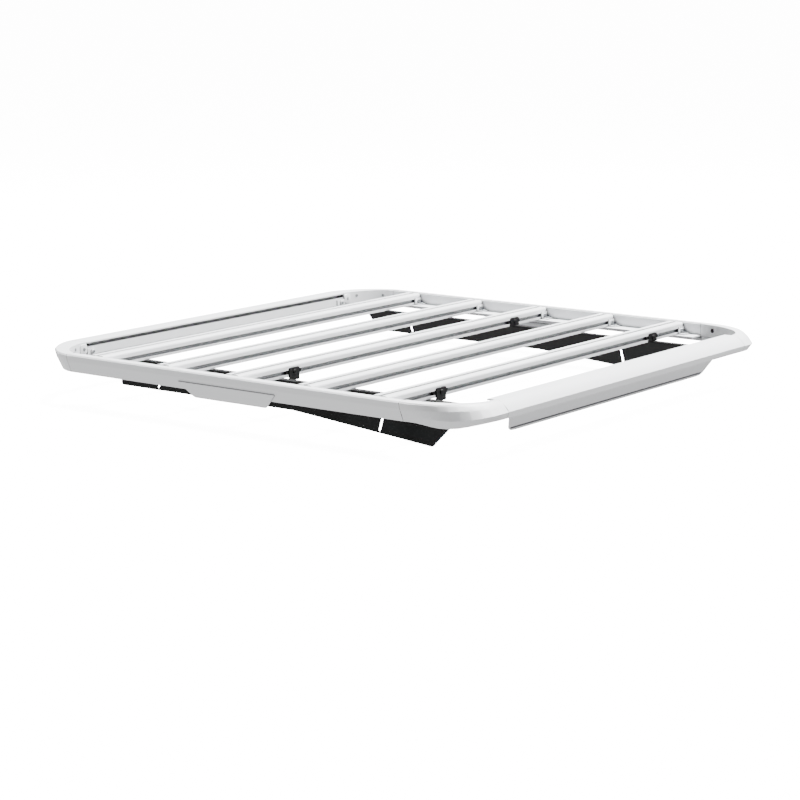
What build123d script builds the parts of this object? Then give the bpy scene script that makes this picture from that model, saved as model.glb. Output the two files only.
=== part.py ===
from build123d import *
import math
import os

os.makedirs("parts", exist_ok=True)

# Frame of the part: X runs to the front, Y to the left and Z up, in millimetres.
# X = 0 is half way along the deck, Y = 0 its middle, Z = 0 the lowest foot edge.

# Deck
deck_length = 1260.0  # rear skin to nose tip
deck_width = 1274.0  # over the crests of the side rails
rim_height = 119.0  # top of the rim above the lowest foot edge
seat = 0.3  # running clearance between pieces that slide together

# Crossbar extrusion
bar_count = 5
first_bar = 70.0  # from the side rail's end to the middle of the nearest bar
bar_width = 42.0
bar_height = 28.0
bar_shoulder = 6.0  # round shoulder beside the flat top
bar_wall = 2.0
top_mouth = 9.0
top_slot_width = 18.0
top_slot_depth = 7.0
side_mouth_top = 13.0  # below the bar's top
side_mouth = 9.0
side_slot_depth = 7.5
side_slot_lip = 1.5
bar_end_gap = 2.0  # from the bar's end to the rail's inner face

# Skirt that runs round the deck
lip_width = 20.0
crest_radius = 3.0
crease_depth = 16.0
crease_inset = 3.5
skirt_depth = 44.0
skirt_inset = 16.5
skirt_foot = 4.5
rim_groove_width = 1.6  # between the lip and the ledge that the bars butt against
rim_groove_depth = 2.5
ledge_width = 7.0
ledge_drop = 1.0
flange_reach = 40.0
flange_thickness = 3.0
skin = 2.6

# Rear extrusion and corner castings
rear_top = 53.0
rear_corner_length = 130.0  # from the side rail's end to the rear skin
rear_corner_width = 146.0  # from the rear extrusion's end to the side's crest
rear_fullness = 1.65  # 2 would be an ellipse, less is flatter across the corner
rear_inner_fullness = 1.75
groove_top = 3.0
groove_mouth = 8.7
groove_depth = 11.0
casting_wall = 4.0
corner_stations = 12

# Nose extrusion and front castings
nose_reach = 55.0  # inner top edge to nose tip
nose_flat = 31.0
nose_mid_x = 12.5
nose_mid_drop = 8.5
brow_share = 0.4  # of the drop to the nose's middle, half way out along it
nose_drop = 21.6
nose_lip = 14.3
nose_lip_inset = 5.0
nose_lip_thickness = 3.0
front_corner_length = 182.0  # from the side rail's end to the nose tip
front_corner_width = 135.0  # from the nose extrusion's end to the side's crest
crest_fullness = 2.1
edge_fullness = 2.6
foot_fullness = 2.1
front_inner_fullness = 2.0
notch = 18.0  # step of the inner edge where the front casting meets the nose
chin_depth = 11.5  # how far the front casting hangs below the skirt near its middle
chin_shape = 3.0
chin_share = 0.6
skirt_edge = 30.0
skirt_edge_inset = 10.6

# Side cover panels
cover_top = 26.0  # below the rim
cover_bottom = 60.5
cover_half_top = 138.0
cover_half_bottom = 103.0
cover_thickness = 2.5
cover_corner = 12.0

# Wind fairing under the nose
fairing_end_gap = 58.0  # from the nose extrusion's end to the fairing's top corner
fairing_end_cut = 37.0  # how much shorter each end is at the bottom
fairing_top_setback = 36.5  # from the nose tip
fairing_lean = 28.5  # rearward over its height
fairing_bottom = 85.5  # below the rim
fairing_thickness = 2.5
fairing_corner = 16.0

# Mounting rails
leg_inset = 136.0  # from the side rail's inner face to the plate's top edge
leg_lean = 21.0  # degrees, outward going down
leg_thickness = 4.0
leg_flange_width = 18.0
leg_rear_short = 11.0  # plate's rear end, inside the side rail's end
leg_front_past = 64.0  # plate's front end, past the side rail's end
leg_rear_cut = 29.0  # how much shorter the rear end is at the bottom
leg_front_cut = 72.0
leg_bend = 77.0  # along X from the middle bar, where the lower edge begins to slope
leg_rear_edge = 87.0  # lower edge below the rim, rear part
leg_corner = 8.0
leg_slot_inset = 152.0  # from the side rail's end
leg_slot_width = 8.0
leg_slot_top = 60.0  # below the rim
leg_slot_land = 4.0

# Clamps that hold the bars on the mounting rails
clamp_width = 35.0
clamp_thickness = 3.0
clamp_top = 8.0  # below the rim
clamp_corner = 3.0
clamp_nut_width = 51.0
clamp_nut_height = 8.0
clamp_nut_depth = 5.0
clamp_hook = 5.0  # height of the hook under the mounting rail's flange
clamp_grip = 9.0  # how far the hook reaches under the flange
clamp_hooked_inset = 52.5  # from the mounting rail's top edge to the middle of a hooked clamp
clamp_standing_inset = 14.5  # the same for a clamp that stands on the flange
clamp_flare = 3.0  # how much wider each side of a standing clamp is at its foot
clamp_flare_height = 6.0

# Cleats that hold the bar ends
cleat_width = 25.0
cleat_foot = 20.0
cleat_thickness = 2.5
cleat_height = 18.0

# Corner joiners
joiner_width = 30.0
joiner_height = 16.0
joiner_corner = 3.0
joiner_thickness = 4.0
joiner_boss = 6.0  # radius

half_length = deck_length / 2
half_width = deck_width / 2
rear_x = -half_length
rail_rear_x = rear_x + rear_corner_length
rail_front_x = half_length - front_corner_length
rail_length = rail_front_x - rail_rear_x
middle_bar_x = (rail_rear_x + rail_front_x) / 2
bar_pitch = (rail_length - 2 * first_bar) / (bar_count - 1)
bar_places = [middle_bar_x + (i - (bar_count - 1) / 2) * bar_pitch for i in range(bar_count)]
rear_seam_y = half_width - rear_corner_width
nose_seam_y = half_width - front_corner_width
inner_inset = lip_width + ledge_width  # crest to the rail's inner face
inner_face_y = half_width - inner_inset
bar_base_z = rim_height - bar_height
flange_base_z = bar_base_z - flange_thickness
skirt_slope = (skirt_inset - crease_inset) / (skirt_depth - crease_depth)
base_drop = bar_height + flange_thickness  # rim to the underside of the flange
skirt_at_base = crease_inset + (base_drop - crease_depth) * skirt_slope
skirt_wall = skirt_at_base + skirt_foot
leg_top_y = inner_face_y - leg_inset
leg_rear_top = leg_rear_short - rail_length / 2  # along X from the middle bar
leg_front_top = rail_length / 2 + leg_front_past
leg_slot_place = rail_length / 2 - leg_slot_inset
clamp_nut_z = rim_height - side_mouth_top - side_mouth / 2


def write(builder, label):
    """Label a finished piece and write its file."""
    builder.part.label = label
    export_step(builder.part, f"parts/{label}.step")


def write_pair(builder, label):
    """Write the left piece and its mirror image on the right."""
    write(builder, f"{label}_left")
    with BuildPart() as other:
        mirror(builder.part, about=Plane.XZ)
    write(other, f"{label}_right")


def skirt_points():
    """Outer skirt from crest to foot, as inset from the crest and height."""
    return [
        (0, rim_height - crest_radius),
        (crease_inset, rim_height - crease_depth),
        (skirt_inset, rim_height - skirt_depth),
        (skirt_inset + skirt_foot, rim_height - skirt_depth),
        (skirt_wall, flange_base_z),
    ]


def side_rail():
    """Side extrusion: lip, narrow groove, ledge, hollow box, leaning skirt and the bars' flange."""
    ledge_z = rim_height - ledge_drop
    groove_z = rim_height - rim_groove_depth
    outline = skirt_points() + [
        (inner_inset + flange_reach, flange_base_z),
        (inner_inset + flange_reach, bar_base_z),
        (inner_inset, bar_base_z),
        (inner_inset, ledge_z),
        (lip_width + rim_groove_width, ledge_z),
        (lip_width + rim_groove_width, groove_z),
        (lip_width, groove_z),
        (lip_width, rim_height),
        (crest_radius, rim_height),
    ]
    hollow_foot = skirt_at_base - flange_thickness * skirt_slope + skin
    hollow = [
        (crease_inset + skin, rim_height - crease_depth),
        (hollow_foot, bar_base_z),
        (inner_inset - skin, bar_base_z),
        (inner_inset - skin, groove_z - skin),
        (lip_width - skin, groove_z - skin),
        (lip_width - skin, rim_height - skin),
        (crest_radius + skin / 2, rim_height - skin),
    ]
    with BuildPart() as rail:
        with BuildSketch(Plane.YZ.offset(rail_rear_x)):
            with BuildLine():
                Polyline([(half_width - u, z) for u, z in outline], close=True)
            make_face()
            with BuildLine():
                Polyline([(half_width - u, z) for u, z in hollow], close=True)
            make_face(mode=Mode.SUBTRACT)
        extrude(amount=rail_length)
    write_pair(rail, "side_rail")


def crossbar(number, x):
    """Crossbar extrusion with a slot along its top and one along each side."""
    half = bar_width / 2
    top = rim_height
    mouth_z = top - side_mouth_top
    mouth_end_z = mouth_z - side_mouth
    core = half - side_slot_depth - bar_wall
    with BuildPart() as bar:
        with BuildSketch(Plane.XZ.offset(-(inner_face_y - bar_end_gap))):
            with BuildLine():
                Line((x - half, bar_base_z), (x + half, bar_base_z))
                Line((x + half, bar_base_z), (x + half, top - bar_shoulder))
                RadiusArc((x + half, top - bar_shoulder), (x + half - bar_shoulder, top), -bar_shoulder)
                Line((x + half - bar_shoulder, top), (x - half + bar_shoulder, top))
                RadiusArc((x - half + bar_shoulder, top), (x - half, top - bar_shoulder), -bar_shoulder)
                Line((x - half, top - bar_shoulder), (x - half, bar_base_z))
            make_face()
            with Locations((x, top - top_slot_depth / 2)):
                Rectangle(top_mouth, top_slot_depth, mode=Mode.SUBTRACT)
            with Locations((x, top - (bar_wall + top_slot_depth) / 2)):
                Rectangle(top_slot_width, top_slot_depth - bar_wall, mode=Mode.SUBTRACT)
            for way in (-1, 1):
                with Locations((x + way * (half - side_slot_depth / 2), (mouth_z + mouth_end_z) / 2)):
                    Rectangle(side_slot_depth, side_mouth, mode=Mode.SUBTRACT)
                inner_depth = side_slot_depth - bar_wall
                with Locations((x + way * (half - bar_wall - inner_depth / 2), (mouth_z + mouth_end_z) / 2)):
                    Rectangle(inner_depth, side_mouth + 2 * side_slot_lip, mode=Mode.SUBTRACT)
            hollow_height = bar_height - top_slot_depth - 2 * bar_wall
            with Locations((x, bar_base_z + bar_wall + hollow_height / 2)):
                Rectangle(2 * core, hollow_height, mode=Mode.SUBTRACT)
        extrude(amount=2 * (inner_face_y - bar_end_gap))
    write(bar, f"crossbar_{number}")


def rear_rail():
    """Rear extrusion: wide flat top, slot along its inner face, skirt like the side rails."""
    inner_x = rear_x + rear_top
    groove_z = rim_height - groove_top
    outline = skirt_points() + [(rear_top, flange_base_z), (rear_top, rim_height), (crest_radius, rim_height)]
    hollow_foot = skirt_at_base - flange_thickness * skirt_slope + skin
    hollow = [
        (crease_inset + skin, rim_height - crease_depth),
        (hollow_foot, bar_base_z),
        (rear_top - skin, bar_base_z),
        (rear_top - skin, groove_z - groove_mouth - 2 * skin),
        (rear_top - groove_depth - skin, groove_z - groove_mouth - 2 * skin),
        (rear_top - groove_depth - skin, rim_height - skin),
        (crest_radius + skin / 2, rim_height - skin),
    ]
    with BuildPart() as rail:
        with BuildSketch(Plane.XZ.offset(-rear_seam_y)):
            with BuildLine():
                Polyline([(rear_x + u, z) for u, z in outline], close=True)
            make_face()
            with BuildLine():
                Polyline([(rear_x + u, z) for u, z in hollow], close=True)
            make_face(mode=Mode.SUBTRACT)
            with Locations((inner_x - groove_depth / 2, groove_z - groove_mouth / 2)):
                Rectangle(groove_depth, groove_mouth, mode=Mode.SUBTRACT)
        extrude(amount=2 * rear_seam_y)
    write(rail, "rear_rail")


def corner_plane(centre_x, centre_y, way, angle):
    """Upright plane turned about a corner's centre: x outward, y up, 0 degrees at the side rail."""
    turn = math.radians(angle)
    out = (way * math.sin(turn), math.cos(turn))
    return Plane(origin=(centre_x, centre_y, rim_height), x_dir=(*out, 0), z_dir=(out[1], -out[0], 0))


def rounded(side, end, fullness, angle):
    """Reach of a corner's curve at an angle, between its reach at the side and at the end."""
    turn = math.radians(angle)
    shares = (math.cos(turn) / side) ** fullness + (math.sin(turn) / end) ** fullness
    return shares ** (-1 / fullness)


def loft_corner(centre_x, centre_y, way, section):
    """Corner casting lofted through the sections that a function gives for each angle."""
    with BuildPart() as corner:
        for i in range(corner_stations + 1):
            angle = 90 * i / corner_stations
            with BuildSketch(corner_plane(centre_x, centre_y, way, angle)):
                with BuildLine():
                    Polyline(section(angle), close=True)
                make_face()
        loft(ruled=True)
    return corner


def rear_section(angle):
    """Rear casting: flat top from the inner curve to the crest, skirt outside and a wall inside."""
    crest = rounded(rear_corner_width, rear_corner_length, rear_fullness, angle)
    inner_side = rear_corner_width - inner_inset
    inner = rounded(inner_side, rear_corner_length - rear_top, rear_inner_fullness, angle)
    return [
        (inner, 0),
        (crest - crest_radius, 0),
        (crest, -crest_radius),
        (crest - crease_inset, -crease_depth),
        (crest - skirt_inset, -skirt_depth),
        (crest - skirt_inset - skirt_foot, -skirt_depth),
        (crest - crease_inset - casting_wall, -crease_depth),
        (crest - crest_radius - casting_wall, -casting_wall),
        (inner + casting_wall, -casting_wall),
        (inner + casting_wall, -base_drop),
        (inner, -base_drop),
    ]


def rear_corner():
    """Rear corner castings."""
    write_pair(loft_corner(rail_rear_x, rear_seam_y, -1, rear_section), "rear_corner")


def nose_outline():
    """Nose section points and its arc, as X and height."""
    inner_x = half_length - nose_reach
    crease_x = inner_x + nose_flat
    return {
        "inner": (inner_x, rim_height),
        "crease": (crease_x, rim_height),
        "middle": (crease_x + nose_mid_x, rim_height - nose_mid_drop),
        "tip": (half_length, rim_height - nose_drop),
        "lip": (half_length - nose_lip_inset, rim_height - nose_drop - nose_lip),
        "lip_back": (half_length - nose_lip_inset - nose_lip_thickness, rim_height - nose_drop - nose_lip),
        "base_front": (half_length - nose_lip_inset - nose_lip_thickness, flange_base_z),
        "base": (inner_x, flange_base_z),
    }


def nose_rail():
    """Front extrusion: flat top falling in a bowed nose to a returned lip."""
    at = nose_outline()
    groove_z = rim_height - groove_top
    inner_x = at["inner"][0]
    with BuildPart() as nose:
        with BuildSketch(Plane.XZ.offset(-nose_seam_y)):
            with BuildLine():
                Line(at["inner"], at["crease"])
                ThreePointArc(at["crease"], at["middle"], at["tip"])
                Polyline([at["tip"], at["lip"], at["lip_back"], at["base_front"], at["base"], at["inner"]])
            make_face()
            with Locations((inner_x + groove_depth / 2, groove_z - groove_mouth / 2)):
                Rectangle(groove_depth, groove_mouth, mode=Mode.SUBTRACT)
            with BuildLine():
                Polyline(
                    [
                        (inner_x + groove_depth + skin, rim_height - skin),
                        (at["crease"][0] - skin / 2, rim_height - skin),
                        (at["middle"][0] - skin, at["middle"][1] - skin),
                        (at["tip"][0] - 2.5 * skin, flange_base_z + skin),
                        (inner_x + skin, flange_base_z + skin),
                        (inner_x + skin, groove_z - groove_mouth - skin),
                        (inner_x + groove_depth + skin, groove_z - groove_mouth - skin),
                    ],
                    close=True,
                )
            make_face(mode=Mode.SUBTRACT)
        extrude(amount=2 * nose_seam_y)
    write(nose, "nose_rail")


def front_section(angle):
    """Front casting: the side skirt turns and bows out to the nose, deepest near its middle."""
    side = front_corner_width
    end = front_corner_length
    crease_reach = end - nose_reach + nose_flat
    share = angle / 90

    def blend(at_side, at_end):
        return at_side + (at_end - at_side) * share

    chin = chin_depth * math.sin(2 * math.radians(angle)) ** chin_shape
    crest = rounded(side, crease_reach, crest_fullness, angle)
    inner = rounded(side - inner_inset, end - nose_reach + notch, front_inner_fullness, angle)
    middle_fullness = (crest_fullness + edge_fullness) / 2
    middle = rounded(side - crease_inset, crease_reach + nose_mid_x, middle_fullness, angle)
    brow = crest + share * (middle - crest) / 2
    edge = rounded(side - skirt_edge_inset, end, edge_fullness, angle)
    edge_z = -blend(skirt_edge, nose_drop) - chin * chin_share
    foot = rounded(side - skirt_inset, end - nose_lip_inset, foot_fullness, angle)
    foot_z = -blend(skirt_depth, nose_drop + nose_lip) - chin
    return [
        (inner, 0),
        (crest - blend(crest_radius, 0), 0),
        (brow, -blend(crest_radius, nose_mid_drop * brow_share)),
        (middle, -blend(crease_depth, nose_mid_drop)),
        (edge, edge_z),
        (foot, foot_z),
        (foot - skirt_foot, foot_z),
        (foot - skirt_foot, -base_drop),
        (inner, -base_drop),
    ]


def front_corner():
    """Front corner castings."""
    write_pair(loft_corner(rail_front_x, nose_seam_y, 1, front_section), "front_corner")


def side_cover():
    """Panel on the middle of each side rail that covers the mounting rail."""
    lean = math.degrees(math.atan(skirt_slope))
    slant = 1 / math.cos(math.radians(lean))
    top_inset = crease_inset + (cover_top - crease_depth) * skirt_slope
    height = (cover_bottom - cover_top) * slant
    panel = Plane(
        origin=(middle_bar_x, half_width - top_inset, rim_height - cover_top),
        x_dir=(-1, 0, 0),
        z_dir=(0, math.cos(math.radians(lean)), -math.sin(math.radians(lean))),
    )
    with BuildPart() as cover:
        with BuildSketch(panel):
            with BuildLine():
                Polyline(
                    [
                        (-cover_half_top, 0),
                        (cover_half_top, 0),
                        (cover_half_bottom, -height),
                        (-cover_half_bottom, -height),
                    ],
                    close=True,
                )
            make_face()
            fillet(vertices().group_by(Axis.Y)[0], cover_corner)
        extrude(amount=cover_thickness)
    write_pair(cover, "side_cover")


def wind_fairing():
    """Leaning plate under the nose with slanted ends."""
    top_x = half_length - fairing_top_setback
    height = fairing_bottom - base_drop
    lean = math.degrees(math.atan(fairing_lean / height))
    slant = math.hypot(fairing_lean, height)
    half_top = nose_seam_y - fairing_end_gap
    half_bottom = half_top - fairing_end_cut
    panel = Plane(
        origin=(top_x, 0, flange_base_z),
        x_dir=(0, 1, 0),
        z_dir=(math.cos(math.radians(lean)), 0, -math.sin(math.radians(lean))),
    )
    with BuildPart() as fairing:
        with BuildSketch(panel):
            with BuildLine():
                Polyline(
                    [(-half_top, 0), (half_top, 0), (half_bottom, -slant), (-half_bottom, -slant)],
                    close=True,
                )
            make_face()
            fillet(vertices().group_by(Axis.Y)[0], fairing_corner)
        extrude(amount=-fairing_thickness)
        split(bisect_by=Plane.XY.offset(flange_base_z), keep=Keep.BOTTOM)
    write(fairing, "wind_fairing")


def mount_rail():
    """Steel rail under the bars: a flange for the bars and a leaning plate with two slots."""
    lean = math.radians(leg_lean)
    slant = 1 / math.cos(lean)
    rear_bottom = leg_rear_top + leg_rear_cut
    front_bottom = leg_front_top - leg_front_cut
    rear_drop = (leg_rear_edge - bar_height) * slant
    drop = (bar_base_z - leg_thickness * math.sin(lean)) * slant
    slope = math.atan((drop - rear_drop) / (front_bottom - leg_bend))
    rise = math.atan(drop / leg_front_cut)
    # The corner's arc ends above its sharp corner, which goes that much lower to leave the arc on the floor.
    drop += leg_corner * (math.tan((slope + rise) / 2) * math.sin(slope) + math.cos(slope) - 1)
    plate = Plane(
        origin=(middle_bar_x, leg_top_y, bar_base_z),
        x_dir=(1, 0, 0),
        z_dir=(0, -math.cos(lean), -math.sin(lean)),
    )
    with BuildPart() as rail:
        with BuildSketch(plate):
            with BuildLine():
                Polyline(
                    [
                        (leg_rear_top, 0),
                        (leg_front_top, 0),
                        (front_bottom, -drop),
                        (leg_bend, -rear_drop),
                        (rear_bottom, -rear_drop),
                    ],
                    close=True,
                )
            make_face()
            corners = vertices().sort_by(Axis.X)
            fillet([corners[1], corners[3]], leg_corner)
            for place in (-leg_slot_place, leg_slot_place):
                edge = rear_drop
                if place > leg_bend:
                    edge += (place - leg_bend) / (front_bottom - leg_bend) * (drop - rear_drop)
                start = (leg_slot_top - bar_height) * slant
                length = edge - leg_slot_land - start
                with Locations((place, -start - length / 2)):
                    SlotOverall(length, leg_slot_width, rotation=90, mode=Mode.SUBTRACT)
        extrude(amount=leg_thickness)
        with BuildSketch(Plane.XY.offset(bar_base_z)):
            centre = (leg_rear_top + leg_front_top) / 2
            with Locations((middle_bar_x + centre, leg_top_y - leg_flange_width / 2)):
                Rectangle(leg_front_top - leg_rear_top, leg_flange_width)
        extrude(amount=-leg_thickness)
    write_pair(rail, "mount_rail")


def hooked_clamp(number, x, way):
    """Right clamp: a plate on the bar's side slot with an arm that hooks under the rail's flange."""
    face_x = x + way * bar_width / 2
    centre = leg_top_y - clamp_hooked_inset
    hook_end = leg_top_y - leg_flange_width + clamp_grip
    hook_z = bar_base_z - leg_thickness - clamp_hook
    height = rim_height - clamp_top - hook_z
    with BuildPart() as clamp:
        with BuildSketch(Plane.YZ.offset(face_x)):
            with Locations((-centre, hook_z + height / 2)):
                RectangleRounded(clamp_width, height, clamp_corner)
            with Locations((-(centre + hook_end) / 2, hook_z + clamp_hook / 2)):
                Rectangle(hook_end - centre, clamp_hook)
        extrude(amount=way * clamp_thickness)
        with BuildSketch(Plane.YZ.offset(face_x)):
            with Locations((-centre, clamp_nut_z)):
                Rectangle(clamp_nut_width, clamp_nut_height)
        extrude(amount=-way * clamp_nut_depth)
    write(clamp, f"clamp_{number}_right")


def standing_clamp(number, x, way):
    """Left clamp: a plate on the bar's side slot that stands on the rail's flange."""
    face_x = x + way * bar_width / 2
    centre = leg_top_y - clamp_standing_inset
    half = clamp_width / 2
    top = rim_height - clamp_top
    with BuildPart() as clamp:
        with BuildSketch(Plane.YZ.offset(face_x)):
            with BuildLine():
                Polyline(
                    [
                        (centre - half, top),
                        (centre + half, top),
                        (centre + half, bar_base_z + clamp_flare_height),
                        (centre + half + clamp_flare, bar_base_z),
                        (centre - half - clamp_flare, bar_base_z),
                        (centre - half, bar_base_z + clamp_flare_height),
                    ],
                    close=True,
                )
            make_face()
            fillet(vertices().group_by(Axis.Y)[-1], clamp_corner)
        extrude(amount=way * clamp_thickness)
        with BuildSketch(Plane.YZ.offset(face_x)):
            with Locations((centre, clamp_nut_z)):
                Rectangle(clamp_nut_width, clamp_nut_height)
        extrude(amount=-way * clamp_nut_depth)
    write(clamp, f"clamp_{number}_left")


def end_cleats():
    """Angle cleats that tie the bar ends down to the side rail's flange."""
    outer_y = inner_face_y - seat
    with BuildPart() as cleats:
        for x in bar_places:
            face_x = x + bar_width / 2
            with BuildSketch(Plane.XZ.offset(-outer_y)):
                with BuildLine():
                    Polyline(
                        [
                            (face_x, bar_base_z),
                            (face_x + cleat_foot, bar_base_z),
                            (face_x + cleat_foot, bar_base_z + cleat_thickness),
                            (face_x + cleat_thickness, bar_base_z + cleat_thickness),
                            (face_x + cleat_thickness, bar_base_z + cleat_height),
                            (face_x, bar_base_z + cleat_height),
                        ],
                        close=True,
                    )
                make_face()
            extrude(amount=cleat_width)
    write_pair(cleats, "end_cleats")


def end_joiner(name, face_x, seam_y, way):
    """Round boss and plate that tie a corner casting to the end extrusion's inner face."""
    middle = (seam_y - joiner_width / 2, flange_base_z + joiner_height / 2)
    with BuildPart() as plate:
        with BuildSketch(Plane.YZ.offset(face_x)):
            with Locations(middle):
                RectangleRounded(joiner_width, joiner_height, joiner_corner)
        extrude(amount=way * joiner_thickness)
        with BuildSketch(Plane.YZ.offset(face_x + way * joiner_thickness)):
            with Locations(middle):
                Circle(joiner_boss)
        extrude(amount=way * joiner_thickness)
    write_pair(plate, name)


side_rail()
for place, bar_x in enumerate(bar_places):
    crossbar(place + 1, bar_x)
rear_rail()
rear_corner()
nose_rail()
front_corner()
side_cover()
wind_fairing()
mount_rail()
end_cleats()
end_joiner("rear_joiner", rear_x + rear_top, rear_seam_y, 1)
end_joiner("front_joiner", half_length - nose_reach, nose_seam_y, -1)
for place, way in ((0, -1), (2, 1), (4, 1)):
    standing_clamp(place + 1, bar_places[place], way)
    hooked_clamp(place + 1, bar_places[place], way)
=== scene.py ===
import bmesh
import bpy
import math
import numpy as np
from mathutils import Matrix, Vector


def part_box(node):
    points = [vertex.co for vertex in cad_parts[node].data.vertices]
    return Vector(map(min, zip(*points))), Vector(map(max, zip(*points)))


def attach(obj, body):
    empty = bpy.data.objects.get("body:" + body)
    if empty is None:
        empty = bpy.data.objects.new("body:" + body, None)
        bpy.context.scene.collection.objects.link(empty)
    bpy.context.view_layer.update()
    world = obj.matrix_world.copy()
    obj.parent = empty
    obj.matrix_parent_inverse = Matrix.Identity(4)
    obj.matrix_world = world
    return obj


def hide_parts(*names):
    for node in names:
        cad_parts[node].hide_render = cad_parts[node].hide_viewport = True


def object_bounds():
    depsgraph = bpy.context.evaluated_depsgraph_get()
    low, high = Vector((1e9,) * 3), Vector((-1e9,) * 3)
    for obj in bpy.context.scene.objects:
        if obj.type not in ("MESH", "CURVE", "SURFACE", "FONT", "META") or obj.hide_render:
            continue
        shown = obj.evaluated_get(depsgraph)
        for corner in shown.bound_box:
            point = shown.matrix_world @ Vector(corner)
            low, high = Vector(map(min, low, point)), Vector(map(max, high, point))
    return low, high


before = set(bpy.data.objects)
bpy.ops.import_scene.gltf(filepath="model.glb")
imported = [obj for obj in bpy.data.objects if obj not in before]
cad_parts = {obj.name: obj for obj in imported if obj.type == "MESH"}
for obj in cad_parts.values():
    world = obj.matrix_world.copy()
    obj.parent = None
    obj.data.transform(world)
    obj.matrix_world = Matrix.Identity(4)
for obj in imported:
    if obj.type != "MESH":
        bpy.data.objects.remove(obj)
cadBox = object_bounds()
print("frame loaded:", len(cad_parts), "nodes")

# Places that the frame gives, in metres: X to the front, Y to the left, Z up
rimTop = cadBox[1][2]
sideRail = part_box("side_rail_left")
railRear = sideRail[0][0]
railFront = sideRail[1][0]
crestY = sideRail[1][1]
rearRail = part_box("rear_rail")
rearInnerX = rearRail[1][0]
rearSeamY = rearRail[1][1]
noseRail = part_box("nose_rail")
noseInnerX = noseRail[0][0]
noseTipX = noseRail[1][0]
noseSeamY = noseRail[1][1]
deckRear = cadBox[0][0]
sides = (("left", 1), ("right", -1))


# Small helpers

def fromHex(code):
    # sRGB hex to linear red, green, blue, alpha
    parts = [int(code[i:i + 2], 16) / 255 for i in (1, 3, 5)]
    return [c / 12.92 if c <= 0.04045 else ((c + 0.055) / 1.055) ** 2.4 for c in parts] + [1.0]


def addNode(tree, kind, settings=None, links=None):
    # One node with its values and the outputs that feed it. A number is a socket's place: a colour mix
    # has its share at 0, its two colours at 6 and 7, and its result at output 2.
    node = tree.nodes.new(kind)
    for name, value in (settings or {}).items():
        if isinstance(name, int) or name in node.inputs:
            node.inputs[name].default_value = value
        else:
            setattr(node, name, value)
    for name, source in (links or {}).items():
        tree.links.new(source, node.inputs[name])
    return node


def startMaterial(name):
    material = bpy.data.materials.new(name)
    material.use_nodes = True
    tree = material.node_tree
    tree.nodes.clear()
    return material, tree


# Materials

texture = {"patchDetail": 2.0, "peelDetail": 1.0, "opennessSamples": 8}

silverCoat = {
    "light": "#e9eaec",
    "dark": "#e1e3e5",
    "paintedShade": "#4e5053",  # painted shade: the dark tone laid on the coat down in the slots
    "paintedShadeReach": 0.012,
    "openness": (0.34, 0.88),  # share of open sky where a face has all and none of the painted shade
    "roughness": 0.42,
    "spread": 0.04,  # how far the ripples move the roughness either way
    "specular": 0.5,
    "index": 1.5,
    "peel": 0.0035,  # metres between the ripples, coarse enough to show
    "peelDepth": 0.00003,
    "peelStrength": 0.3,
    "patch": 0.25,  # metres across the faint patches of tone
}

# on the bars the painted shade sets in later and is whole sooner
barCoat = dict(silverCoat, paintedShade="#55575a", openness=(0.44, 0.76))

blackCoat = {
    "light": "#131314",
    "dark": "#0b0b0c",
    # painted shade tone for the black coat's recesses
    "paintedShade": "#030303",
    "paintedShadeReach": 0.006,
    "openness": (0.34, 0.88),
    "roughness": 0.6,
    "spread": 0.04,
    "specular": 0.22,
    "index": 1.5,
    "peel": 0.003,
    "peelDepth": 0.00004,
    "peelStrength": 0.3,
    "patch": 0.12,
}


def powderCoat(name, spec):
    # baked powder coat: an even satin skin, with a faint orange peel that breaks up the highlights
    # and painted shade, a duller tone where neighbouring faces close in on it
    material, tree = startMaterial(name)
    place = addNode(tree, "ShaderNodeTexCoord").outputs["Object"]
    patches = addNode(tree, "ShaderNodeTexNoise",
                      {"Scale": 1 / spec["patch"], "Detail": texture["patchDetail"]}, {"Vector": place})
    tone = addNode(tree, "ShaderNodeMix",
                   {"data_type": "RGBA", 6: fromHex(spec["dark"]), 7: fromHex(spec["light"])},
                   {0: patches.outputs["Fac"]})
    # painted shade: ambient occlusion mixes the coat towards its dark tone in slots, corners and joints
    openness = addNode(tree, "ShaderNodeAmbientOcclusion",
                       {"samples": texture["opennessSamples"], "Distance": spec["paintedShadeReach"]})
    closed, opened = spec["openness"]
    clear = addNode(tree, "ShaderNodeMapRange", {"From Min": closed, "From Max": opened},
                    {"Value": openness.outputs["AO"]})
    coat = addNode(tree, "ShaderNodeMix", {"data_type": "RGBA", 6: fromHex(spec["paintedShade"])},
                   {0: clear.outputs["Result"], 7: tone.outputs[2]})
    peel = addNode(tree, "ShaderNodeTexNoise",
                   {"Scale": 1 / spec["peel"], "Detail": texture["peelDetail"]}, {"Vector": place})
    rough = addNode(tree, "ShaderNodeMapRange",
                    {"To Min": spec["roughness"] - spec["spread"],
                     "To Max": spec["roughness"] + spec["spread"]},
                    {"Value": peel.outputs["Fac"]})
    bump = addNode(tree, "ShaderNodeBump", {"Strength": spec["peelStrength"], "Distance": spec["peelDepth"]},
                   {"Height": peel.outputs["Fac"]})
    skin = addNode(tree, "ShaderNodeBsdfPrincipled",
                   {"IOR": spec["index"], "Specular IOR Level": spec["specular"]},
                   {"Base Color": coat.outputs[2], "Roughness": rough.outputs["Result"],
                    "Normal": bump.outputs["Normal"]})
    addNode(tree, "ShaderNodeOutputMaterial", links={"Surface": skin.outputs["BSDF"]})
    return material


boltSteel = {
    "light": "#c4c6c8",
    "dark": "#8f9295",
    "roughness": 0.34,
    "grain": 0.002,
}


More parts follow.
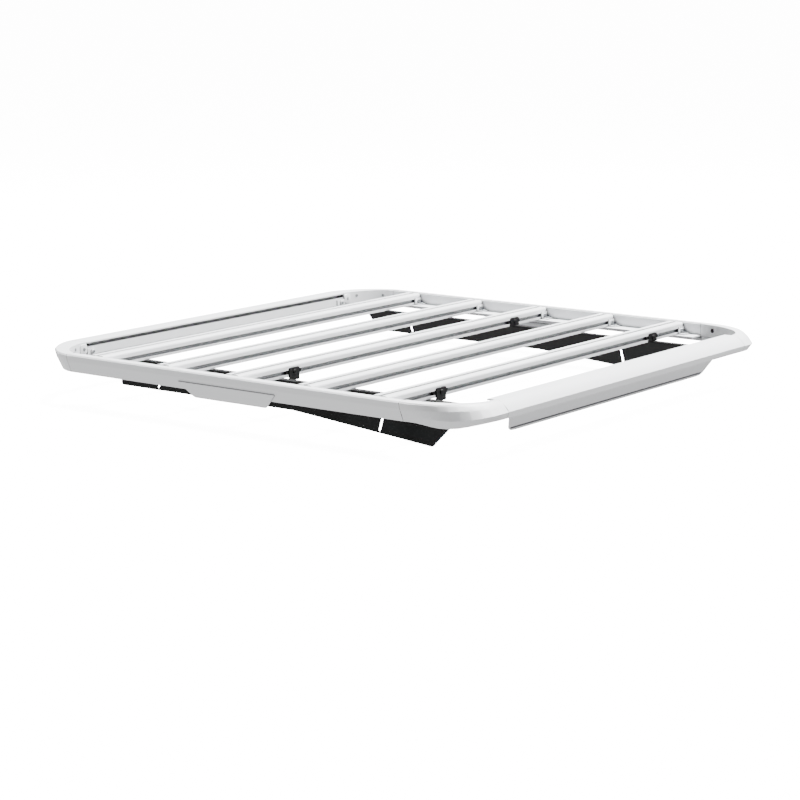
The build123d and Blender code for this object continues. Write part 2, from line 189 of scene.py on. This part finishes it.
def zincSteel(name, spec):
    # cold-formed steel with a zinc plating: bright grey metal, slightly clouded
    material, tree = startMaterial(name)
    place = addNode(tree, "ShaderNodeTexCoord").outputs["Object"]
    cloud = addNode(tree, "ShaderNodeTexNoise",
                    {"Scale": 1 / spec["grain"], "Detail": texture["patchDetail"]}, {"Vector": place})
    tone = addNode(tree, "ShaderNodeMix",
                   {"data_type": "RGBA", 6: fromHex(spec["dark"]), 7: fromHex(spec["light"])},
                   {0: cloud.outputs["Fac"]})
    skin = addNode(tree, "ShaderNodeBsdfPrincipled", {"Metallic": 1.0, "Roughness": spec["roughness"]},
                   {"Base Color": tone.outputs[2]})
    addNode(tree, "ShaderNodeOutputMaterial", links={"Surface": skin.outputs["BSDF"]})
    return material


silver = powderCoat("silver powder coated aluminium", silverCoat)
barSilver = powderCoat("silver powder coated slotted bar", barCoat)
black = powderCoat("black powder coated steel", blackCoat)
steel = zincSteel("zinc plated cold formed steel", boltSteel)


# Smooth shading: loose triangles are joined and stay sharp only over an edge angle.
# The imported normals would keep the facets, so they are removed first.

mergeWithin = 0.00001  # metres


def shadeGroup(name, angle):
    group = bpy.data.node_groups.new(name, "GeometryNodeTree")
    group.interface.new_socket("Geometry", in_out="INPUT", socket_type="NodeSocketGeometry")
    group.interface.new_socket("Geometry", in_out="OUTPUT", socket_type="NodeSocketGeometry")
    start = addNode(group, "NodeGroupInput")
    plain = addNode(group, "GeometryNodeRemoveAttribute", {"Name": "custom_normal"},
                    {"Geometry": start.outputs[0]})
    joined = addNode(group, "GeometryNodeMergeByDistance", {"Distance": mergeWithin},
                     {"Geometry": plain.outputs[0]})
    faces = addNode(group, "GeometryNodeSetShadeSmooth", {"domain": "FACE"}, {"Geometry": joined.outputs[0]})
    turn = addNode(group, "GeometryNodeInputMeshEdgeAngle")
    sharp = addNode(group, "FunctionNodeCompare", {"operation": "GREATER_THAN", "B": math.radians(angle)},
                    {"A": turn.outputs["Unsigned Angle"]})
    edges = addNode(group, "GeometryNodeSetShadeSmooth", {"domain": "EDGE", "Shade Smooth": False},
                    {"Geometry": faces.outputs[0], "Selection": sharp.outputs[0]})
    addNode(group, "NodeGroupOutput", links={"Geometry": edges.outputs[0]})
    return group


shading = {"casting": 20.0, "extrusion": 8.0, "made": 32.0}  # degrees
shadeBy = {kind: shadeGroup("shade " + kind, angle) for kind, angle in shading.items()}


def shade(piece, kind):
    modifier = piece.modifiers.new("shade", "NODES")
    modifier.node_group = shadeBy[kind]


for name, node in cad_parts.items():
    node.data.materials.clear()
    coat = black if name.startswith(("mount_rail", "clamp")) else silver
    node.data.materials.append(barSilver if name.startswith("crossbar") else coat)
    shade(node, "casting" if "corner" in name else "extrusion")
print("materials and shading done")


# Mesh code for the new pieces

doublesWithin = 1e-7  # metres, so that only points in one place merge
nearUpright = 0.9  # share of Z from which X is the helper direction


def gridPiece(name, points, material, wrapRows=False):
    # points is an array of grids, rows and columns; columns always close round, rows may too.
    # Each face joins a point to the next in its row and column, and merged doubles close the poles.
    index = np.arange(points[..., 0].size).reshape(points.shape[:3])
    nextRow = np.roll(index, -1, axis=1)
    corners = np.stack([index, nextRow, np.roll(nextRow, -1, axis=2), np.roll(index, -1, axis=2)], axis=-1)
    if not wrapRows:
        corners = corners[:, :-1]
    mesh = bpy.data.meshes.new(name)
    mesh.from_pydata(points.reshape(-1, 3).tolist(), [], corners.reshape(-1, 4).tolist())
    work = bmesh.new()
    work.from_mesh(mesh)
    bmesh.ops.remove_doubles(work, verts=work.verts, dist=doublesWithin)
    bmesh.ops.recalc_face_normals(work, faces=work.faces)
    work.to_mesh(mesh)
    work.free()
    mesh.materials.append(material)
    piece = bpy.data.objects.new(name, mesh)
    bpy.context.scene.collection.objects.link(piece)
    shade(piece, "made")
    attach(piece, "root")
    return piece


def sideways(axes):
    # two directions square to each axis
    helper = np.where(np.abs(axes[:, 2:]) > nearUpright, [[1.0, 0, 0]], [[0, 0, 1.0]])
    first = np.cross(helper, axes)
    first /= np.linalg.norm(first, axis=1, keepdims=True)
    return first, np.cross(axes, first)


def hexReach(apothem, turn):
    # a hexagon's reach is its half width over the cosine of the angle from the nearest flat
    return apothem / np.cos((turn + math.pi / 6) % (math.pi / 3) - math.pi / 6)


# shares of a head's radius and height, from the edge of its face out to the rim
screwHead = {"flats": 0.9, "face": 0.62, "bevel": 0.84, "shoulder": 0.97, "bevelRise": 0.94,
             "shoulderRise": 0.7, "rimRise": 0.5}


def makeScrews(name, places, axes, spec, material):
    # A head is a profile of reach and height turned about its axis. The socket's rings follow a hexagon,
    # and so does the rim of a hexagon head.
    places, axes = np.array(places, float), np.array(axes, float)
    turn = np.linspace(0, 2 * math.pi, spec["around"], endpoint=False)
    full = np.full_like(turn, spec["radius"])
    head = screwHead
    rim = hexReach(spec["radius"] * head["flats"], turn) if spec["hex"] else full
    socket = hexReach(spec["socket"], turn)
    height = spec["height"]
    bottom = height - spec["depth"]
    reach = np.stack([0 * turn, socket, socket, full * head["face"], full * head["bevel"],
                      rim * head["shoulder"], rim, rim, 0 * turn])
    rise = np.array([bottom, bottom, height, height, height * head["bevelRise"],
                     height * head["shoulderRise"], height * head["rimRise"], -spec["sunk"], -spec["sunk"]])
    first, second = sideways(axes)
    points = (places[:, None, None] + axes[:, None, None] * rise[:, None, None]
              + first[:, None, None] * (reach * np.cos(turn))[..., None]
              + second[:, None, None] * (reach * np.sin(turn))[..., None])
    return gridPiece(name, points, material)


buttonScrew = {"radius": 0.0046, "height": 0.0024, "socket": 0.0016, "depth": 0.0013, "sunk": 0.0006,
               "around": 24, "hex": False}
hexBolt = {"radius": 0.0058, "height": 0.0038, "socket": 0.0020, "depth": 0.0008, "sunk": 0.0004,
           "around": 24, "hex": True}


# Clamp bolts: one on each clamp's plate, over its channel nut

clampBolts = {"nutHalf": 0.0255, "drop": 0.0175, "spots": ((1, -1), (3, 1), (5, 1))}  # bar and facing
clampScrew = dict(buttonScrew, radius=0.0056, height=0.003)


def makeClampBolts():
    for side, way in sides:
        places, axes = [], []
        for number, forward in clampBolts["spots"]:
            low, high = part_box("clamp_%d_%s" % (number, side))
            y = min(abs(low[1]), abs(high[1])) + clampBolts["nutHalf"]
            places.append((high[0] if forward > 0 else low[0], way * y, rimTop - clampBolts["drop"]))
            axes.append((forward, 0, 0))
        makeScrews("clamp_bolts_" + side, places, axes, clampScrew, black)


# Cleat bolts: one through each cleat's foot and one through its upright into the bar's side slot

cleatBolts = {"foot": 0.0125, "thickness": 0.0025, "slotDrop": 0.0175, "fromFace": 0.0128, "reach": 0.02,
              "barCount": 5}
smallScrew = dict(buttonScrew, radius=0.0042)


def makeCleatBolts():
    for side, way in sides:
        low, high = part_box("end_cleats_" + side)
        outer = max(abs(low[1]), abs(high[1]))
        y = way * (outer - cleatBolts["fromFace"])
        faces = np.linspace(low[0], high[0] - cleatBolts["reach"], cleatBolts["barCount"])
        base = low[2] + cleatBolts["thickness"]
        makeScrews("cleat_foot_bolts_" + side, [(x + cleatBolts["foot"], y, base) for x in faces],
                   [(0, 0, 1)] * len(faces), hexBolt, steel)
        makeScrews("cleat_slot_bolts_" + side,
                   [(x + cleatBolts["thickness"], y, rimTop - cleatBolts["slotDrop"]) for x in faces],
                   [(1, 0, 0)] * len(faces), smallScrew, steel)


# Joiner screws: one on each boss that ties a corner casting to an end extrusion

def makeJoinerScrews():
    for end, way in (("rear", 1), ("front", -1)):
        places = []
        for side, _ in sides:
            low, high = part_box("%s_joiner_%s" % (end, side))
            x = high[0] if way > 0 else low[0]
            places.append((x, (low[1] + high[1]) / 2, (low[2] + high[2]) / 2))
        makeScrews(end + "_joiner_screws", places, [(way, 0, 0)] * 2, smallScrew, steel)


# Screws and plugs on the castings' inner walls

rearWall = {"side": 0.119, "end": 0.077, "fullness": 1.75, "way": -1}
frontWall = {"side": 0.108, "end": 0.145, "fullness": 2.0, "way": 1}
wallScrews = {"rearAngles": (13.5, 56.0), "rearDrops": (0.014, 0.011), "frontAngle": 18.5, "frontDrop": 0.014}
wallScrew = dict(buttonScrew, radius=0.0038, height=0.0016, depth=0.001)
wallPlug = dict(buttonScrew, radius=0.005, height=0.0012, depth=0.0008)


def wallSpot(wall, angle, drop, side):
    # The wall's plan is a superellipse about the casting's corner centre: its reach is the shares of
    # cosine over side and sine over end, each to the fullness, summed and taken to minus one over it.
    turn, n = math.radians(angle), wall["fullness"]
    reach = ((math.cos(turn) / wall["side"]) ** n + (math.sin(turn) / wall["end"]) ** n) ** (-1 / n)
    out, across = reach * math.sin(turn), reach * math.cos(turn)
    slopeX = out ** (n - 1) / wall["end"] ** n
    slopeY = across ** (n - 1) / wall["side"] ** n
    size = math.hypot(slopeX, slopeY)
    centreX, seamY = (railRear, rearSeamY) if wall["way"] < 0 else (railFront, noseSeamY)
    place = (centreX + wall["way"] * out, side * (seamY + across), rimTop - drop)
    return place, (-wall["way"] * slopeX / size, -side * slopeY / size, 0)


def makeWallScrews():
    rear = [wallSpot(rearWall, a, d, s) for s in (1, -1)
            for a, d in zip(wallScrews["rearAngles"], wallScrews["rearDrops"])]
    makeScrews("rear_casting_screws", [p for p, _ in rear], [a for _, a in rear], wallScrew, steel)
    front = [wallSpot(frontWall, wallScrews["frontAngle"], wallScrews["frontDrop"], s) for s in (1, -1)]
    makeScrews("front_casting_plugs", [p for p, _ in front], [a for _, a in front], wallPlug, black)


# Bosses inside the rear castings, beside the seam with the rear extrusion

rearBoss = {"halfWidth": 0.0125, "halfHeight": 0.0125, "thickness": 0.0075, "sunk": 0.003, "drop": 0.0155,
            "gap": 0.0005, "fullness": 3.0, "around": 48, "edge": (0.0, 0.8, 0.93, 0.985, 1.0, 1.0, 0.0),
            "rise": (1.0, 1.0, 0.95, 0.82, 0.6, 0.0, 0.0)}
bossScrew = dict(buttonScrew, radius=0.004, height=0.0016, depth=0.001)
# a black disc at each rear groove's end, painted shade for the dark inside a round hole
grooveHoleShade = {"sunk": 0.003, "inset": 0.006, "drop": 0.0072}
grooveHoleDisc = dict(buttonScrew, radius=0.0041, height=0.0012, depth=0.0008)


def makeRearBosses():
    # Outline: a superellipse, each axis the signed power two over the fullness of the cosine and sine.
    # Rings shrink from it to the middle of the face, so that its edge is rounded over.
    spec = rearBoss
    turn = np.linspace(0, 2 * math.pi, spec["around"], endpoint=False)
    power = 2 / spec["fullness"]
    across = np.sign(np.cos(turn)) * np.abs(np.cos(turn)) ** power * spec["halfWidth"]
    up = np.sign(np.sin(turn)) * np.abs(np.sin(turn)) ** power * spec["halfHeight"]
    scale, rise = np.array(spec["edge"])[:, None], np.array(spec["rise"])[:, None]
    backX = rearInnerX - spec["sunk"]
    grids = []
    for _, way in sides:
        middleY = way * (rearSeamY + spec["halfWidth"] + spec["gap"])
        grids.append(np.stack([backX + rise * spec["thickness"] + 0 * across, middleY + scale * across,
                               rimTop - spec["drop"] + scale * up], axis=-1))
    gridPiece("rear_bosses", np.stack(grids), silver)
    faceX = backX + spec["thickness"]
    screwY = rearSeamY + spec["halfWidth"]
    makeScrews("rear_boss_screws", [(faceX, way * screwY, rimTop - spec["drop"]) for _, way in sides],
               [(1, 0, 0)] * 2, bossScrew, steel)
    # black discs at the ends of the rear grooves: painted shade for the dark inside a round hole
    plugX, plugY = rearInnerX - grooveHoleShade["sunk"], rearSeamY - grooveHoleShade["inset"]
    makeScrews("rear_groove_hole_shade", [(plugX, way * plugY, rimTop - grooveHoleShade["drop"]) for _, way in sides],
               [(1, 0, 0)] * 2, grooveHoleDisc, black)


makeClampBolts()
makeCleatBolts()
makeJoinerScrews()
makeWallScrews()
makeRearBosses()
print("fasteners and bosses done")


# Seams between the castings and the extrusions: the joints are real, and the thin black strip laid in each is
# painted shade for the dark gap

seam = {
    "width": 0.0007,
    "proud": 0.00003,
    "deep": 0.0006,
    # inset from the crest and drop below the rim
    "skirt": [(0, 0.003), (0.0035, 0.016), (0.0165, 0.044), (0.021, 0.044), (0.015, 0.031)],
    "sideInner": [(0.027, 0.031), (0.027, 0)],
    "rearInner": [(0.053, 0.031), (0.053, 0)],
    "crest": [(0.003, 0)],
    "noseFlat": 0.031,
    "noseMiddle": (0.0435, 0.0085),
    "noseDrop": 0.0216,
    "noseLip": (0.005, 0.0359),
    "noseLipBack": (0.008, 0.0359),
    "noseBase": 0.031,
    "arcSteps": 12,
}


def seamShadeBand(outline, origin, inward, along):
    # An outline becomes a band: its points move out and in along the mitred normal, the sum of the
    # neighbouring edges' normals over one plus their product, and to both sides of the joint.
    edge = np.roll(outline, -1, axis=0) - outline
    normal = np.stack([edge[:, 1], -edge[:, 0]], axis=1) / np.linalg.norm(edge, axis=1, keepdims=True)
    if np.sum(outline[:, 0] * np.roll(outline[:, 1], -1) - np.roll(outline[:, 0], -1) * outline[:, 1]) < 0:
        normal = -normal
    before = np.roll(normal, 1, axis=0)
    mitre = (before + normal) / (1 + np.sum(before * normal, axis=1, keepdims=True))
    outer, inner = outline + mitre * seam["proud"], outline - mitre * seam["deep"]
    half = seam["width"] / 2
    ring = np.stack([outer, outer, inner, inner], axis=1)
    shift = np.array([-half, half, half, -half])[None, :, None]
    down = np.array([0, 0, -1.0])
    return origin + ring[..., :1] * inward + ring[..., 1:] * down + shift * along


def noseArc():
    # circle through the crease, the middle and the tip of the nose, from its centre and radius
    a = np.array([seam["noseFlat"], 0])
    b = np.array(seam["noseMiddle"])
    c = np.array([noseTipX - noseInnerX, seam["noseDrop"]])
    lhs = np.array([b - a, c - b]) * 2
    rhs = np.array([b @ b - a @ a, c @ c - b @ b])
    centre = np.linalg.solve(lhs, rhs)
    radius = np.linalg.norm(a - centre)
    start, end = np.arctan2(*(a - centre)[::-1]), np.arctan2(*(c - centre)[::-1])
    turn = np.linspace(start, end, seam["arcSteps"])
    return centre + radius * np.stack([np.cos(turn), np.sin(turn)], axis=1)


def makeSeams():
    sideOutline = np.array(seam["skirt"] + seam["sideInner"] + seam["crest"])
    rearOutline = np.array(seam["skirt"] + seam["rearInner"] + seam["crest"])
    reach = noseTipX - noseInnerX
    lipX, backX = reach - seam["noseLip"][0], reach - seam["noseLipBack"][0]
    underside = [(lipX, seam["noseLip"][1]), (backX, seam["noseLipBack"][1]),
                 (backX, seam["noseBase"]), (0, seam["noseBase"])]
    noseOutline = np.concatenate([[(0, 0)], noseArc(), underside])
    alongX, alongY = np.array([1.0, 0, 0]), np.array([0, 1.0, 0])
    for side, way in sides:
        for x, end in ((railRear, "rear"), (railFront, "front")):
            band = seamShadeBand(sideOutline, np.array([x, way * crestY, rimTop]), -way * alongY, alongX)
            gridPiece("%s_rail_seam_%s" % (end, side), band[None], black, wrapRows=True)
        rear = seamShadeBand(rearOutline, np.array([deckRear, way * rearSeamY, rimTop]), alongX, alongY)
        gridPiece("rear_seam_" + side, rear[None], black, wrapRows=True)
        nose = seamShadeBand(noseOutline, np.array([noseInnerX, way * noseSeamY, rimTop]), alongX, alongY)
        gridPiece("nose_seam_" + side, nose[None], black, wrapRows=True)


makeSeams()
print("seams done")


# Wind fairing: a pressed sheet with a channel and a rolled hem along its lower edge

fairing = {
    "endCut": 0.037,
    "corner": 0.011,
    "thickness": 0.0025,
    "hem": 0.0058,
    "channel": 0.0040,  # width of the dark channel above the hem
    "hemRise": 0.0009,
    "channelDepth": 0.0022,
    "ramp": 0.0004,
    "fade": 0.012,
    "hemRows": 7,
    "sheetRows": 12,
    "fadeColumns": 6,
    "columns": 60,
}


def makeFairing():
    # A profile carried along the nose: rows are distances up from the lower edge, each with an offset square
    # to the sheet. The half width grows with the distance by the end's slant, less a quarter circle's
    # share within the corner's radius. The back repeats the front a thickness behind it.
    spec = fairing
    low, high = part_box("wind_fairing")
    height = high[2] - low[2]
    topX, topHalf = high[0], high[1]
    run = topX - low[0] - spec["thickness"]
    lean = math.atan2(run, height)
    slant = math.hypot(run, height)
    hem, ramp, channel = spec["hem"], spec["ramp"], spec["channel"]
    stops = [hem + ramp, hem + ramp + channel, hem + 2 * ramp + channel]
    up = np.concatenate([np.linspace(0, hem, spec["hemRows"]), stops,
                         np.linspace(spec["corner"] + ramp, slant, spec["sheetRows"])])
    out = np.interp(up, [0, hem] + stops,
                    [spec["hemRise"], spec["hemRise"], -spec["channelDepth"], -spec["channelDepth"], 0])
    inCorner = np.clip(1 - up / spec["corner"], 0, 1)
    half = topHalf - spec["endCut"] * (1 - up / slant) - spec["corner"] * (1 - np.sqrt(1 - inCorner ** 2))
    down = slant - up
    square = np.array([math.cos(lean), -math.sin(lean)])
    rows = np.stack([topX - down * math.sin(lean), high[2] - down * math.cos(lean)], axis=1)
    # the hem and channel fade out towards the ends
    fadeShare = spec["fade"] / topHalf
    inFromEnd = np.linspace(0, fadeShare, spec["fadeColumns"])
    inner = 1 - 2 * fadeShare
    share = np.concatenate([inFromEnd - 1, np.linspace(-inner, inner, spec["columns"]), 1 - inFromEnd[::-1]])
    fade = np.clip((1 - np.abs(share)) / fadeShare, 0, 1)
    front = rows[None] + (fade[:, None] * out[None])[..., None] * square
    back = front - spec["thickness"] * square
    section = np.concatenate([front, back[:, ::-1]], axis=1)
    middle = (front + back) / 2
    ends = np.concatenate([middle, middle[:, ::-1]], axis=1)[[0, -1]]
    section = np.concatenate([ends[:1], section, ends[1:]])
    share = np.concatenate([share[:1], share, share[-1:]])
    across = share[:, None] * np.concatenate([half, half[::-1]])[None]
    grid = np.stack([section[..., 0], across, section[..., 1]], axis=-1)
    piece = gridPiece("wind_fairing_sheet", grid[None], silver)
    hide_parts("wind_fairing")


makeFairing()
print("fairing done")


# Floor, light and camera

studio = {
    "floor": "#f6f6f6",
    "floorGlow": 14.0,  # keeps the pale floor near white
    "floorRoughness": 0.9,
    "floorSize": 90.0,
    "world": 0.3,
    "worldBelow": 1.35,  # stands for the light that a pale floor sends up
    "behind": 0.6,  # how much stronger that is from behind and weaker from the front
    "horizon": 0.15,
    "overhead": {"power": 1750.0, "size": 2.4, "place": (0.4, 1.6, 5.0)},
    "front": {"power": 400.0, "size": 2.0, "place": (3.6, 1.2, 4.2)},
    "aim": (0, 0, 0.1),  # what both lamps point at
}


def makeFloor():
    size = studio["floorSize"]
    corners = [(-size, -size, 0), (size, -size, 0), (size, size, 0), (-size, size, 0)]
    mesh = bpy.data.meshes.new("floor")
    mesh.from_pydata(corners, [], [(0, 1, 2, 3)])
    floor = bpy.data.objects.new("floor", mesh)
    bpy.context.scene.collection.objects.link(floor)
    material, tree = startMaterial("plain pale floor")
    skin = addNode(tree, "ShaderNodeBsdfPrincipled",
                   {"Base Color": fromHex(studio["floor"]), "Roughness": studio["floorRoughness"],
                    "Emission Color": (1.0, 1.0, 1.0, 1.0), "Emission Strength": studio["floorGlow"]})
    addNode(tree, "ShaderNodeOutputMaterial", links={"Surface": skin.outputs["BSDF"]})
    mesh.materials.append(material)
    floor.visible_diffuse = False  # the floor's glow doesn't flatten the sides
    floor.visible_glossy = False  # nor brighten the black coat


def makeLamp(name, spec):
    lamp = bpy.data.lights.new(name, "AREA")
    lamp.energy = spec["power"]
    lamp.size = spec["size"]
    light = bpy.data.objects.new(name, lamp)
    light.location = spec["place"]
    toDeck = Vector(studio["aim"]) - light.location
    light.rotation_euler = toDeck.to_track_quat("-Z", "Y").to_euler()
    bpy.context.scene.collection.objects.link(light)


def makeLight():
    world = bpy.data.worlds.new("studio")
    bpy.context.scene.world = world
    world.use_nodes = True
    world.node_tree.nodes.clear()
    tree = world.node_tree
    place = addNode(tree, "ShaderNodeTexCoord").outputs["Generated"]  # the direction, in a world
    direction = addNode(tree, "ShaderNodeSeparateXYZ", links={"Vector": place})
    upward, forward = direction.outputs["Z"], direction.outputs["X"]
    below = addNode(tree, "ShaderNodeMapRange",
                    {"From Min": -1.0, "To Min": studio["worldBelow"] + studio["behind"],
                     "To Max": studio["worldBelow"] - studio["behind"]}, {"Value": forward})
    strength = addNode(tree, "ShaderNodeMapRange",
                       {"From Min": -studio["horizon"], "From Max": studio["horizon"],
                        "To Max": studio["world"]},
                       {"Value": upward, "To Min": below.outputs["Result"]})
    glow = addNode(tree, "ShaderNodeBackground", {"Color": (1.0, 1.0, 1.0, 1.0)},
                   {"Strength": strength.outputs["Result"]})
    addNode(tree, "ShaderNodeOutputWorld", links={"Surface": glow.outputs["Background"]})
    for name in ("overhead", "front"):
        makeLamp(name, studio[name])


view = {"lens": 105.47, "sensor": 36.0, "place": (3.264, -4.4135, 1.041), "tilt": 78.967, "turn": 36.673,
        "clipEnd": 200.0}


def makeCamera():
    camera = bpy.data.objects.new("camera", bpy.data.cameras.new("camera"))
    camera.data.lens = view["lens"]
    camera.data.sensor_width = view["sensor"]
    camera.location = view["place"]
    camera.rotation_euler = (math.radians(view["tilt"]), 0, math.radians(view["turn"]))
    camera.data.clip_end = view["clipEnd"]
    bpy.context.scene.collection.objects.link(camera)
    bpy.context.scene.camera = camera


makeFloor()
makeLight()
makeCamera()
print("stage done")
